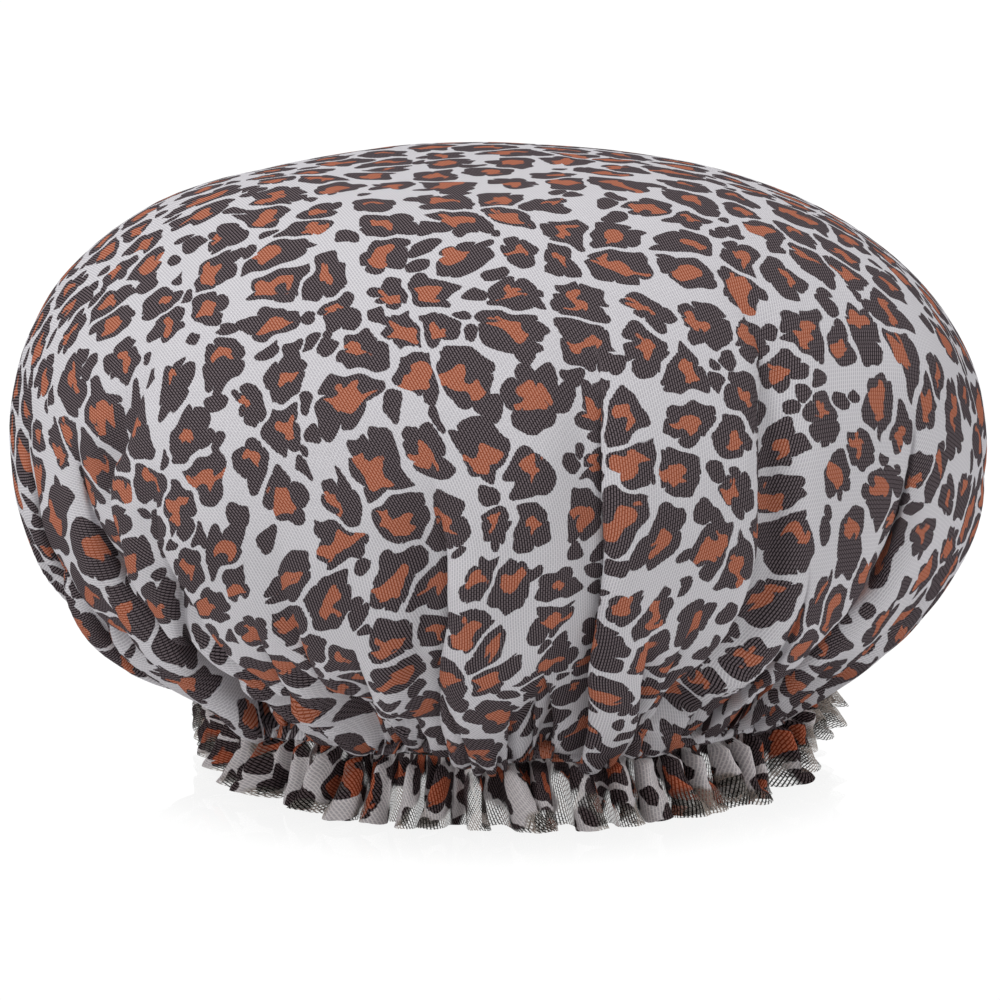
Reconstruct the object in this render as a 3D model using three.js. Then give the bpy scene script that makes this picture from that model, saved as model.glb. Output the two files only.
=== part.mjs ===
// A lined hair bonnet: a round of printed mesh cloth gathered on an elastic band, with a film lining
// inside and a pleated frill below the band. It stands on the hem of its frill, puffed as when worn.
// Millimetres, +Z up, origin on the table under the middle of the crown's widest line.
import * as THREE from "three";

const TURN = 2 * Math.PI;

// Crown, puffed.
const crownWidth = 265;
const crownRise = 82; // from the widest line up to the top
const widestHeight = 82; // from the table up to the widest line
const topFullness = 2.4; // exponents of the two curves: 2 is an ellipse, more is boxier
const underFullness = 1.9;
const clothThickness = 0.5;
const liningThickness = 0.4;

// It doesn't stand quite evenly: the band is off to the right of the widest line and the top off to
// the left, and the left side hangs fuller above the tuck.
const waistLean = 2.7;
const waistLeanHeight = 30; // above the band, where the lean ends
const topLean = 4;
const leftSag = 3;
const leftSagRise = 11; // above the tuck
const leftSagSpread = 12;

// Gathered folds of the crown. A depth is how far a valley lies behind its crest.
const foldCount = 15;
const pointsPerFold = 4;
const foldSharpness = 1.5; // over 1 makes the crests broad and the valleys narrow
const foldDepthAtWidest = 2;
const foldDepthUnder = 8;
const foldDepthAtTuck = 4;
const foldDepthAtBand = 1.2;

// Waist band, where the elastic runs between two seams.
const waistWidth = 160;
const frillHeight = 18;
const bandHeight = 10;
const tuckOverhang = 4.6; // the crown bulges this far out past the band
const tuckSag = 8.2; // and hangs this far below the band's top
const creaseWidth = 1.8; // between the band and the cloth that turns up to it

// Frill.
const pleatsPerFold = 3;
const pointsPerPleat = 4;
const frillFlare = 5.5; // the hem's mean line stands this far out past the waist
const pleatDepthAtWaist = 3;
const pleatDepthAtHem = 9.5;
const hemLift = 4; // of the hem's highest pleats
const hemFlat = 0.5; // the lowest pleats are flat where they stand

// Elastic, its casing tape and the thread.
const elasticWidth = 6;
const elasticThickness = 1.2;
const elasticLap = 16;
const tapeWidth = 9.6;
const tapeThickness = 0.4;
const tapeEdgeWidth = 1.5; // of the flat edges that the stitches hold
const threadDiameter = 0.5;
const tackWidth = 4;
const tackZigs = 7;
const seatGap = 0.3; // between pieces that touch

// Steps round the axis.
const foldPoints = foldCount * pointsPerFold;
const pleatPoints = foldCount * pleatsPerFold * pointsPerPleat;
const tapePoints = 90;
const threadSides = 5;
const tackSides = 6;

// Heights that the pieces share.
const bandBottom = frillHeight + seatGap;
const bandTop = frillHeight + bandHeight;
const bandMiddle = (bandBottom + bandTop) / 2;
const waistRadius = waistWidth / 2;
const liningBandRadius = waistRadius - foldDepthAtBand - clothThickness - seatGap;
const tuckRadius = waistRadius + tuckOverhang;
const tuckHeight = bandTop - tuckSag;

// Folds lie at uneven places round the axis and are unevenly deep. u counts folds.
const foldDriftShares = [0.32, 0.2];
const foldDriftWaves = [2, 5];
const foldVarietyShare = 0.28;
const foldVarietyWaves = 4;

function foldAngle(u) {
  const turn = (TURN * u) / foldCount;
  const drift = foldDriftShares.reduce(
    (sum, share, i) => sum + share * Math.sin(foldDriftWaves[i] * turn + i),
    0,
  );
  return turn + (TURN / foldCount) * drift;
}

function valleyShare(u) {
  const round = (1 - Math.cos(TURN * u)) / 2;
  const variety = Math.sin((foldVarietyWaves * TURN * u) / foldCount + 1);
  return Math.pow(round, foldSharpness) * (1 - foldVarietyShare * (1 - variety) / 2);
}

// A station of a profile: its distance from the axis, its height, and its folds' depth.
// It lies a share of the way from the widest line to the top, or to the tuck.
function onTop(share, depth) {
  const t = (share * Math.PI) / 2;
  return {
    r: (crownWidth / 2) * Math.pow(Math.cos(t), 2 / topFullness),
    z: widestHeight + crownRise * Math.pow(Math.sin(t), 2 / topFullness),
    depth,
  };
}

// The curve below the widest line would run on under the band, and the tuck lies on it.
const tuckAngle = Math.acos(Math.pow(tuckRadius / (crownWidth / 2), underFullness / 2));
const underDepth = (widestHeight - tuckHeight) / Math.pow(Math.sin(tuckAngle), 2 / underFullness);

function onUnderside(share, depth) {
  const t = share * tuckAngle;
  return {
    r: (crownWidth / 2) * Math.pow(Math.cos(t), 2 / underFullness),
    z: widestHeight - underDepth * Math.pow(Math.sin(t), 2 / underFullness),
    depth,
  };
}

// The crown's own curve down to the start of its tuck. The first three rows have half the points.
const sparseRows = 3;
const topShares = [0.745, 0.49, 0.267];
const underShares = [0.386, 0.69, 0.874];
const crownCurve = [
  { r: 0, z: widestHeight + crownRise, depth: 0 },
  onTop(topShares[0], 0),
  onTop(topShares[1], 0),
  onTop(topShares[2], foldDepthAtWidest / 2),
  onTop(0, foldDepthAtWidest),
  onUnderside(underShares[0], (foldDepthAtWidest + foldDepthUnder) / 2),
  onUnderside(underShares[1], foldDepthUnder),
];

// Below it the cloth hangs over the band, turns up behind its own overhang and runs down the band.
const crownProfile = [
  ...crownCurve,
  onUnderside(underShares[2], foldDepthUnder),
  { r: tuckRadius, z: tuckHeight, depth: foldDepthAtTuck },
  { r: waistRadius + creaseWidth, z: bandTop - clothThickness, depth: foldDepthAtBand },
  { r: waistRadius, z: bandTop, depth: foldDepthAtBand },
  { r: waistRadius, z: bandBottom, depth: foldDepthAtBand },
];

// A point of the crown or of its lining, leaned. The band stays where it is.
function leaned(point) {
  const { x, y, z } = point;
  const reach = Math.hypot(x, y);
  const aboveBand = THREE.MathUtils.smoothstep(z, bandTop, bandTop + waistLeanHeight);
  const aboveWidest = THREE.MathUtils.smoothstep(z, widestHeight, widestHeight + crownRise);
  const leftShare = reach > 0 ? Math.max(0, -x / reach) ** 2 : 0;
  const sagShare = Math.exp(-(((z - tuckHeight - leftSagRise) / leftSagSpread) ** 2));
  const pastTuck = THREE.MathUtils.smoothstep(reach, tuckRadius, tuckRadius + leftSagSpread);
  const sag = leftSag * leftShare * sagShare * pastTuck;
  return point.setX(x - waistLean * aboveBand - topLean * aboveWidest - sag);
}

// The rings of points of one face of a gathered sheet.
function foldedRings(profile) {
  return profile.map((station, row) => {
    const before = profile[Math.max(row - 1, 0)];
    const after = profile[Math.min(row + 1, profile.length - 1)];
    const along = new THREE.Vector2(after.r - before.r, after.z - before.z).normalize();
    return Array.from({ length: foldPoints }, (_, column) => {
      const u = column / pointsPerFold;
      const inward = station.depth * valleyShare(u);
      const r = station.r + along.y * inward;
      const z = station.z - along.x * inward;
      const angle = foldAngle(u);
      return leaned(new THREE.Vector3(r * Math.cos(angle), r * Math.sin(angle), z));
    });
  });
}

// The same rings moved back through the sheet, square to its face.
function rowsBehind(rings, distance) {
  return rings.map((ring, row) =>
    ring.map((point, column) => {
      if (row === 0) return point.clone().setZ(point.z - distance);
      const before = rings[row - 1][column];
      const after = rings[Math.min(row + 1, rings.length - 1)][column];
      const left = ring[(column + ring.length - 1) % ring.length];
      const right = ring[(column + 1) % ring.length];
      const down = after.clone().sub(before);
      const round = right.clone().sub(left);
      const normal = down.cross(round).normalize();
      return point.clone().addScaledVector(normal, -distance);
    }),
  );
}

// Collects triangles into one closed geometry.
function triangleList() {
  const corners = [];
  return {
    add(a, b, c) {
      corners.push(...a.toArray(), ...b.toArray(), ...c.toArray());
    },
    quad(a, b, c, d) {
      this.add(a, b, c);
      this.add(a, c, d);
    },
    geometry() {
      const made = new THREE.BufferGeometry();
      made.setAttribute("position", new THREE.Float32BufferAttribute(corners, 3));
      made.computeVertexNormals();
      return made;
    },
  };
}

// One face of a sheet from its rings, printed side out, or turned over. A sheet with sparse rows
// starts at a pole.
function addFace(list, rings, sparse, turned) {
  const add = (a, b, c) => (turned ? list.add(a, c, b) : list.add(a, b, c));
  const last = rings.length - 1;
  for (let row = 0; row < last; row += 1) {
    const upper = rings[row];
    const lower = rings[row + 1];
    const step = row < sparse ? 2 : 1;
    for (let column = 0; column < upper.length; column += step) {
      const next = (column + step) % upper.length;
      const middle = (column + 1) % upper.length;
      if (row === 0 && sparse > 0) {
        add(upper[0], lower[column], lower[next]);
      } else if (row === sparse - 1) {
        add(upper[column], lower[column], lower[middle]);
        add(upper[column], lower[middle], upper[next]);
        add(upper[next], lower[middle], lower[next]);
      } else {
        add(upper[column], lower[column], lower[next]);
        add(upper[column], lower[next], upper[next]);
      }
    }
  }
}

// The strip between two rings of points.
function addRim(list, outer, inner) {
  outer.forEach((point, column) => {
    const next = (column + 1) % outer.length;
    list.quad(point, inner[column], inner[next], outer[next]);
  });
}

// A gathered sheet of even thickness that starts at a pole, open at its lower edge.
function gatheredSheet(front, thickness) {
  const back = rowsBehind(front, thickness);
  const list = triangleList();
  addFace(list, front, sparseRows, false);
  addFace(list, back, sparseRows, true);
  addRim(list, front.at(-1), back.at(-1));
  return list.geometry();
}

// A solid through a row of like sections, closed on itself or with its two ends capped.
function loft(sections, closed) {
  const list = triangleList();
  const count = sections.length;
  const size = sections[0].length;
  for (let i = 0; i < (closed ? count : count - 1); i += 1) {
    const here = sections[i];
    const there = sections[(i + 1) % count];
    for (let k = 0; k < size; k += 1) {
      const next = (k + 1) % size;
      list.quad(here[k], there[k], there[next], here[next]);
    }
  }
  if (!closed) {
    const first = sections[0];
    const last = sections[count - 1];
    for (let k = 1; k < size - 1; k += 1) {
      list.add(first[0], first[k], first[k + 1]);
      list.add(last[0], last[k + 1], last[k]);
    }
  }
  return list.geometry();
}

function atAngle(angle, r, z) {
  return new THREE.Vector3(r * Math.cos(angle), r * Math.sin(angle), z);
}

// Printed cloth of the crown.
function crownCloth() {
  return gatheredSheet(foldedRings(crownProfile), clothThickness);
}

// Film lining: it lies behind the crown, then steps in over the band's top and runs down inside it.
function lining() {
  const upper = rowsBehind(foldedRings(crownCurve), clothThickness + seatGap);
  const stepHeight = bandTop + clothThickness + seatGap + liningThickness;
  const ledge = [
    { r: tuckRadius, z: stepHeight, depth: 0 },
    { r: liningBandRadius, z: stepHeight - liningThickness, depth: 0 },
    { r: liningBandRadius, z: bandBottom, depth: 0 },
  ];
  return gatheredSheet([...upper, ...foldedRings(ledge)], liningThickness);
}

// Frill: one pleated strip, taller where its hem lies on the table.
function pleatWave(u) {
  return Math.cos(TURN * u * pleatsPerFold);
}

function hemHeight(u) {
  const rise = (1 - Math.cos((foldVarietyWaves * TURN * u) / foldCount)) / 2;
  return Math.max(0, (hemLift + hemFlat) * rise - hemFlat);
}

// The ring of a strip's inner face, which lies level with its outer one and a thickness inside it.
function ringInside(ring, thickness) {
  const across = (a, b) => new THREE.Vector2(a.y - b.y, b.x - a.x).normalize();
  return ring.map((point, column) => {
    const before = across(ring[(column + ring.length - 1) % ring.length], point);
    const after = across(point, ring[(column + 1) % ring.length]);
    const inward = before.clone().add(after).normalize();
    inward.multiplyScalar(thickness / inward.dot(before));
    return new THREE.Vector3(point.x + inward.x, point.y + inward.y, point.z);
  });
}

function frill() {
  const front = [0, 1 / 2, 1].map((share) => {
    const depth = THREE.MathUtils.lerp(pleatDepthAtWaist, pleatDepthAtHem, share);
    const flare = frillFlare * share * share;
    return Array.from({ length: pleatPoints }, (_, i) => {
      const u = i / (pleatsPerFold * pointsPerPleat);
      const r = waistRadius + flare + (depth / 2) * pleatWave(u);
      return atAngle(foldAngle(u), r, THREE.MathUtils.lerp(frillHeight, hemHeight(u), share));
    });
  });
  const back = front.map((ring) => ringInside(ring, clothThickness));
  const list = triangleList();
  addFace(list, front, 0, false);
  addFace(list, back, 0, true);
  addRim(list, front.at(-1), back.at(-1));
  addRim(list, back[0], front[0]);
  return list.geometry();
}

// Elastic: a flat strip bent to a ring, its end lapped inside its start.
const elasticRadius = liningBandRadius - liningThickness - seatGap;
const lapAngle = elasticLap / elasticRadius;
const lapStart = -lapAngle / 2;
const elasticBottom = bandMiddle - elasticWidth / 2;
const elasticTop = bandMiddle + elasticWidth / 2;

function elasticBand() {
  const steps = foldPoints + pointsPerFold;
  const sections = Array.from({ length: steps + 1 }, (_, i) => {
    const angle = lapStart + (TURN + lapAngle) * (i / steps);
    const stepIn = THREE.MathUtils.smoothstep(angle, TURN - 3 * lapAngle, TURN - lapAngle);
    const outer = elasticRadius - stepIn * (elasticThickness + seatGap);
    const inner = outer - elasticThickness;
    return [
      atAngle(angle, outer, elasticBottom),
      atAngle(angle, outer, elasticTop),
      atAngle(angle, inner, elasticTop),
      atAngle(angle, inner, elasticBottom),
    ];
  });
  return loft(sections, false);
}

// Casing tape: its flat edges lie on the lining, and its middle stands off round the elastic.
const tapeRadius = liningBandRadius - liningThickness - seatGap;
const tapeBellyRadius = tapeRadius - 2 * (elasticThickness + seatGap) - threadDiameter - seatGap;

function casingTape() {
  const low = bandMiddle - tapeWidth / 2;
  const high = bandMiddle + tapeWidth / 2;
  const outline = [
    [tapeRadius, low],
    [tapeRadius, low + tapeEdgeWidth],
    [tapeBellyRadius, elasticBottom],
    [tapeBellyRadius, elasticTop],
    [tapeRadius, high - tapeEdgeWidth],
    [tapeRadius, high],
  ];
  const inside = outline.map(([r, z]) => [r - tapeThickness, z]).reverse();
  const profile = [...outline, ...inside];
  const sections = Array.from({ length: tapePoints }, (_, i) =>
    profile.map(([r, z]) => atAngle((TURN * i) / tapePoints, r, z)),
  );
  return loft(sections, true);
}

// A round thread along a line of points.
function threadAlong(points, sides, closed) {
  const count = points.length;
  const sections = points.map((point, i) => {
    const before = closed ? points[(i + count - 1) % count] : points[Math.max(i - 1, 0)];
    const after = closed ? points[(i + 1) % count] : points[Math.min(i + 1, count - 1)];
    const forward = after.clone().sub(before).normalize();
    const outward = new THREE.Vector3(point.x, point.y, 0).normalize();
    const across = new THREE.Vector3().crossVectors(outward, forward).normalize();
    const square = new THREE.Vector3().crossVectors(forward, across);
    return Array.from({ length: sides }, (_, k) => {
      const angle = (TURN * k) / sides;
      return point
        .clone()
        .addScaledVector(square, (threadDiameter / 2) * Math.cos(angle))
        .addScaledVector(across, (threadDiameter / 2) * Math.sin(angle));
    });
  });
  return loft(sections, closed);
}

// Needle thread, on the printed face of the band, and bobbin thread, on the tape.
function needleThread(height) {
  const points = Array.from({ length: foldPoints }, (_, column) => {
    const u = column / pointsPerFold;
    const r = waistRadius - foldDepthAtBand * valleyShare(u) + seatGap + threadDiameter / 2;
    return atAngle(foldAngle(u), r, height);
  });
  return threadAlong(points, threadSides, true);
}

function bobbinThread(height) {
  const r = tapeRadius - tapeThickness - seatGap - threadDiameter / 2;
  const points = Array.from({ length: foldPoints }, (_, i) =>
    atAngle((TURN * i) / foldPoints, r, height),
  );
  return threadAlong(points, threadSides, true);
}

// Zigzag tack that joins the elastic's ends, on the face of the inner end.
function lapTack() {
  const r = elasticRadius - 2 * elasticThickness - 2 * seatGap - threadDiameter / 2;
  const length = elasticLap / 2;
  const points = Array.from({ length: 2 * tackZigs + 1 }, (_, i) => {
    const side = i % 2 === 0 ? -1 : 1;
    const angle = (length / r) * (i / (2 * tackZigs) - 1 / 2);
    return atAngle(angle, r, bandMiddle + (side * tackWidth) / 2);
  });
  return threadAlong(points, tackSides, false);
}

const printedCloth = new THREE.MeshStandardMaterial({ color: 0xb9a9a4, roughness: 0.85 });
const film = new THREE.MeshStandardMaterial({ color: 0xe9ebee, roughness: 0.35 });
const knittedElastic = new THREE.MeshStandardMaterial({ color: 0xf2f0ea, roughness: 0.9 });
const wovenTape = new THREE.MeshStandardMaterial({ color: 0xe6e6e6, roughness: 0.8 });
const blackThread = new THREE.MeshStandardMaterial({ color: 0x26221f, roughness: 0.7 });

const bonnet = new THREE.Group();

// Every piece is made round the band's axis.
function addPiece(name, geometry, material) {
  geometry.translate(waistLean, 0, 0);
  const mesh = new THREE.Mesh(geometry, material);
  mesh.name = name;
  bonnet.add(mesh);
}

const seamReach = (tapeWidth - tapeEdgeWidth) / 2; // the stitches hold the middle of the tape's edges
const upperSeam = bandMiddle + seamReach;
const lowerSeam = bandMiddle - seamReach;

addPiece("crown_cloth", crownCloth(), printedCloth);
addPiece("frill", frill(), printedCloth);
addPiece("lining", lining(), film);
addPiece("elastic_band", elasticBand(), knittedElastic);
addPiece("casing_tape", casingTape(), wovenTape);
addPiece("elastic_lap_tack", lapTack(), blackThread);
addPiece("upper_seam_needle_thread", needleThread(upperSeam), blackThread);
addPiece("upper_seam_bobbin_thread", bobbinThread(upperSeam), blackThread);
addPiece("lower_seam_needle_thread", needleThread(lowerSeam), blackThread);
addPiece("lower_seam_bobbin_thread", bobbinThread(lowerSeam), blackThread);

export default bonnet;
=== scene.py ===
import math

import bpy
import numpy as np
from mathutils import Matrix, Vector
from mathutils.bvhtree import BVHTree


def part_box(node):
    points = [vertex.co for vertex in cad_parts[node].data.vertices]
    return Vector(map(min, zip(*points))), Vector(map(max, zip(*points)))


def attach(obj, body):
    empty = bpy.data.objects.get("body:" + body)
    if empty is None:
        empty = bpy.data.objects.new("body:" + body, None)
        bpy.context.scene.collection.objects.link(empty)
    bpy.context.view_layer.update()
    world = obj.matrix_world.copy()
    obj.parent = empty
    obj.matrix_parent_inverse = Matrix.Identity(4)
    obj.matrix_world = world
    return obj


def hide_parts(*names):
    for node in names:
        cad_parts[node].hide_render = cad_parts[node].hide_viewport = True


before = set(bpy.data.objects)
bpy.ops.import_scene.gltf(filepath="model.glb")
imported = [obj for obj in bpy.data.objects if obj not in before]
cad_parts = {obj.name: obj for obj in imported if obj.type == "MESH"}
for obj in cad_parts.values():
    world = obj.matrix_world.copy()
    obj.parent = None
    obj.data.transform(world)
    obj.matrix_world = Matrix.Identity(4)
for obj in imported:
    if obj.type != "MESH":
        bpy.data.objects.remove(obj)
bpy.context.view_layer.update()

# A lined hair bonnet, puffed and standing on the hem of its frill. Lengths are in mm until a mesh is made.
MM = 0.001
TURN = 2 * math.pi

# What the frame gives.
crown_low, crown_high = (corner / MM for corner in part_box("crown_cloth"))
tape_low, tape_high = (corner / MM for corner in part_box("casing_tape"))
elastic_low, elastic_high = (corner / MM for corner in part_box("elastic_band"))
CROWN_RADIUS = (crown_high.y - crown_low.y) / 2
CROWN_TOP = crown_high.z
BAND_BOTTOM = crown_low.z
BAND_MIDDLE = (tape_high.z + tape_low.z) / 2
BAND_SHIFT = (tape_high.x + tape_low.x) / 2     # the band stands this far to the right
ASIDE = np.array([BAND_SHIFT, 0, 0])
TAPE_RADIUS = (tape_high.y - tape_low.y) / 2
TAPE_WIDTH = tape_high.z - tape_low.z

# The crown's outline.
WAIST_RADIUS = 80.0
BAND_TOP = 28.0
WIDEST_HEIGHT = 82.0
TOP_FULLNESS = 2.53     # power of the curve over the top: 2 is an ellipse, and more is squarer
UNDER_FULLNESS = 2.03   # and below the widest line
TUCK_RADIUS = 84.6
TUCK_HEIGHT = 16.8
TUCK_DIP = 0.6          # of the cloth below that, at its turn
TUCK_TURN = 1.0         # about the radius of the turns inside the tuck and over the band
CREASE_OUT = 1.6        # from the band out to the crease over it
FRILL_DEPTH = 19.5
STANDING_GAP = 0.25     # under the frill's lowest pleat

# How it stands in the photograph: to the left of its band.
LEAN_END = 58.0         # height at which it is past its lean
TOP_LEAN = 4.0          # and its top leans this much more
LEFT_SAG = 9.0          # how much fuller the left side hangs, at most
SAG_RISE = 15.0         # above the tuck, where that is
SAG_SPREAD = 17.0


def smooth(value, start, end):
    """0 before start and 1 after end, with an even slope at both."""
    t = np.clip((value - start) / (end - start), 0, 1)
    return t * t * (3 - 2 * t)


def placed(name, data):
    """A new object in the scene."""
    made = bpy.data.objects.new(name, data)
    bpy.context.scene.collection.objects.link(made)
    return made


# Camera. It looks down on the crown by 12 degrees.
AIM = Vector((0, 0, 69.5)) * MM
DISTANCE = 1.1          # metres
CAMERA_RISE = math.radians(12)
eye = AIM + DISTANCE * Vector((0, -math.cos(CAMERA_RISE), math.sin(CAMERA_RISE)))
lens = bpy.data.cameras.new("camera")
lens.sensor_width = 36
lens.lens = 144.6
camera = placed("camera", lens)
camera.location = eye
camera.rotation_euler = (AIM - eye).to_track_quat("-Z", "Y").to_euler()
bpy.context.scene.camera = camera

# The section of the crown, from its pole to the band's lower edge.
CORNER_CUTS = 4
TUCK_BLEND = 6          # steps of the crown's curve that its turn into the tuck takes up


def rounded(points):
    """The points with their corners cut."""
    for _ in range(CORNER_CUTS):
        near = points[:-1] * 0.75 + points[1:] * 0.25
        far = points[:-1] * 0.25 + points[1:] * 0.75
        cut = np.stack([near, far], 1).reshape(-1, 2)
        points = np.vstack([points[:1], cut, points[-1:]])
    return points


class Section:
    """A section line, read by the distance along it from the pole."""

    def __init__(self, points):
        steps = np.hypot(*np.diff(points, axis=0).T)
        self.along = np.concatenate([[0], np.cumsum(steps)])
        self.points = points
        self.length = self.along[-1]

    def at(self, s):
        """Distance from the axis, height, and the two parts of the outward direction."""
        r = np.interp(s, self.along, self.points[:, 0])
        z = np.interp(s, self.along, self.points[:, 1])
        reach = 0.8
        after = [np.interp(s + reach, self.along, self.points[:, i]) for i in (0, 1)]
        before = [np.interp(s - reach, self.along, self.points[:, i]) for i in (0, 1)]
        dr = after[0] - before[0]
        dz = after[1] - before[1]
        size = np.hypot(dr, dz)
        return r, z, -dz / size, dr / size


def crown_curve():
    """Distance from the axis and height, close together from the pole to the tuck."""
    t = np.linspace(0, math.pi / 2, 300)
    top_r = CROWN_RADIUS * np.sin(t) ** (2 / TOP_FULLNESS)
    top_z = WIDEST_HEIGHT + (CROWN_TOP - WIDEST_HEIGHT) * np.cos(t) ** (2 / TOP_FULLNESS)
    tuck_angle = math.acos((TUCK_RADIUS / CROWN_RADIUS) ** (UNDER_FULLNESS / 2))
    under_depth = (WIDEST_HEIGHT - TUCK_HEIGHT) / math.sin(tuck_angle) ** (2 / UNDER_FULLNESS)
    t = np.linspace(0, tuck_angle, 200)[1:-TUCK_BLEND]
    under_r = CROWN_RADIUS * np.cos(t) ** (2 / UNDER_FULLNESS)
    under_z = WIDEST_HEIGHT - under_depth * np.sin(t) ** (2 / UNDER_FULLNESS)
    return np.vstack([np.column_stack([top_r, top_z]), np.column_stack([under_r, under_z])])


def crown_section():
    """The crown's curve, its tuck over the band, and the band."""
    curve = crown_curve()
    crease = WAIST_RADIUS + CREASE_OUT
    tuck = np.array([
        curve[-1],
        [TUCK_RADIUS, TUCK_HEIGHT],
        [TUCK_RADIUS - CREASE_OUT, TUCK_HEIGHT - TUCK_DIP],
        [crease, TUCK_HEIGHT + TUCK_TURN],
        [crease, BAND_TOP - 1.5 * TUCK_TURN],
        [crease - TUCK_DIP, BAND_TOP + 0.4 * TUCK_TURN],
        [WAIST_RADIUS, BAND_TOP - 0.8 * TUCK_TURN],
        [WAIST_RADIUS, BAND_BOTTOM],
    ])
    return np.vstack([curve, rounded(tuck)[1:]])


crown_line = Section(crown_section())
outside = crown_line.points[:, 0] >= TUCK_RADIUS - 2 * TUCK_TURN
lowest = np.argmin(np.where(outside, crown_line.points[:, 1], np.inf))
TUCK_ALONG = float(crown_line.along[lowest])    # from the pole to the tuck's lower edge


def along_of_height(z):
    """Distance along the section at a height, above the tuck."""
    upto = crown_line.along <= TUCK_ALONG
    return np.interp(-np.asarray(z, float), -crown_line.points[upto, 1], crown_line.along[upto])


class Fold:
    """A crease that runs down the crown and takes cloth in."""

    def __init__(self, heights, bearings, reach, taken, valley, width, turn):
        alongs = along_of_height(heights)
        order = np.argsort(alongs)
        self.alongs = alongs[order]
        self.bearings = np.radians(np.asarray(bearings, float)[order] - 90)
        self.reach = reach      # mm above the tuck where it starts
        self.taken = taken      # how much of the spare cloth it takes, against its neighbours
        self.valley = valley    # how far the cloth beside it sinks, in PANEL_DEPTHs
        self.width = width      # about how far that goes, in mm to either side
        self.turn = math.radians(turn)  # how flat it lies: 0 goes straight in, 90 lies on the cloth

    def bearing(self, s):
        return np.interp(s, self.alongs, self.bearings)

    def growth(self, s):
        """0 where the fold starts and 1 at the band."""
        return float(np.clip((s - (TUCK_ALONG - self.reach)) / self.reach, 0, 1))


# Creases that show from the front: heights in mm and bearings in degrees to the right of the front, then
# their reach, taken, valley, width and turn.
FRONT_FOLDS = [
    Fold((80, 62, 44, 32), (-71, -69, -64, -55), 92, 13, 2.0, 8.5, -48),
    Fold((99, 84, 75, 58, 50, 34), (-56.2, -56.5, -55.5, -53.6, -51, -46), 118, 18, 3.5, 10.5, -54),
    Fold((117, 104, 96, 86, 76, 64, 51, 36), (-44.6, -46.4, -49.3, -50.1, -48.7, -49.6, -47.5, -40),
         140, 18, 4.1, 10, 62),
    Fold((95, 80, 68, 56, 44, 31), (-40, -41.2, -40.4, -38.6, -35.5, -31.5), 108, 16, 3.1, 9, 57),
    Fold((60, 45, 31), (-28, -26.5, -22), 62, 12, 1.8, 8, 45),
    Fold((66, 54, 42, 30), (-16.9, -17.1, -17.9, -19.7), 66, 15, 3.0, 10, 40),
    Fold((102, 83, 62, 44, 29), (-7.1, -6.3, -6.8, -9.1, -11.4), 118, 16, 3.2, 12, 62),
    Fold((55, 40, 27), (2, 1.5, 0.5), 42, 11, 1.2, 8, -40),
    Fold((131, 113, 97, 82, 61, 44, 26), (13.0, 11.3, 10.7, 10.8, 10.1, 9.4, 9.8), 150, 17, 3.6, 13, 62),
    Fold((130, 113, 94, 80, 64, 54, 45, 35), (36.2, 32.4, 31.0, 30.8, 29.8, 28.7, 27.2, 24.4),
         168, 23, 3.8, 10.5, -64),
    Fold((60, 48, 34), (37, 35.5, 31), 60, 12, 1.8, 9, -50),
    Fold((107, 91, 79, 66, 56, 47, 36), (55.5, 53.5, 52.3, 50.6, 47.5, 44.5, 41), 122, 17, 3.0, 12, 52),
    Fold((75, 58, 44, 34), (67, 65, 61, 54), 80, 12, 2.0, 9, -45),
    Fold((110, 80, 50), (78, 80, 81), 128, 17, 2.8, 12, -50),
]
BACK_BEARINGS = (97, 294)       # degrees, between which the seeded folds of the sides and back lie
BACK_SPACINGS = (10, 20)
# Smaller folds all round: how many, then ranges of their reach, taken, valley and width
SMALLER_FOLDS = (
    (44, (26, 95), (8, 12), (0.7, 1.7), (4.5, 9)),
    (52, (8, 24), (6, 9), (0.3, 0.8), (2.5, 4)),
)
PANEL_DEPTH = 2.1       # mm that the cloth sinks beside a fold with a valley of 1
VALLEY_GROWTH = 0.45    # of the fold's growth, where its valley is full
VALLEY_SPREAD = 0.7     # of the fold's width
VALLEY_POWER = 1.5
VALLEY_LOSS = 0.8       # share of it that the tuck takes out
VALLEY_LEAD = 25.0      # from this far above the tuck's lower edge
LIP = 1.3               # how far the cloth stands up beside a fold that lies on it, against its valley
LIP_SPREAD = 0.6
CREASE_WIDTH = 0.7      # mm round the ring in which a fold takes its cloth in
CREASE_GROWTH = 0.10    # and more for each mm of cloth
FOLD_ROUNDING = 1.15    # power: 1 is a sharp fold
FLATTEST = 0.35         # a fold that lies flat may be deeper, by 1 over this at most
GROWTH_POWER = 1.3      # with which a fold takes more cloth in on its way down
BAND_RUN = 6.0          # from the tuck's lower edge up to where the band holds the cloth
BAND_CALM = 0.70        # share of the unevenness that the band takes out
GATHER_COUNT = 168      # fine gathers on the band
GATHER_DEPTH = 0.75     # and how far they stand to either side
TUCK_DROOP = 1.6        # how unevenly the tuck's lower edge hangs
DROOP_LEAD = 30.0       # from this far above it
SLOW_SWELL = (0.8, 1.8)     # mm of slow unevenness at the top and low down
QUICK_SWELL = (0.10, 0.45)  # and of quick unevenness
SLOW_WAVES = (9, 60, 140)   # how many, and the least and the most mm from wave to wave
QUICK_WAVES = (16, 16, 40)
SWELL_FROM = 110.0      # from the pole, where it starts to grow
# Share of the spare cloth that the folds take in, by the distance from the pole
TAKEN_SHARES = ((0, 0.0), (90, 0.3), (176, 0.55), (215, 0.8), (TUCK_ALONG, 0.95))
MOST_TAKEN = 1.8        # mm that a fold takes in, at most, for each 1 of its taken
# How deep a fold may be: the band leaves little room
FOLD_ROOM = (
    (TUCK_ALONG - 40, 9), (TUCK_ALONG - 6, 5.5), (TUCK_ALONG + 1, 3.2), (TUCK_ALONG + 5, 1.2),
)


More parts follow.
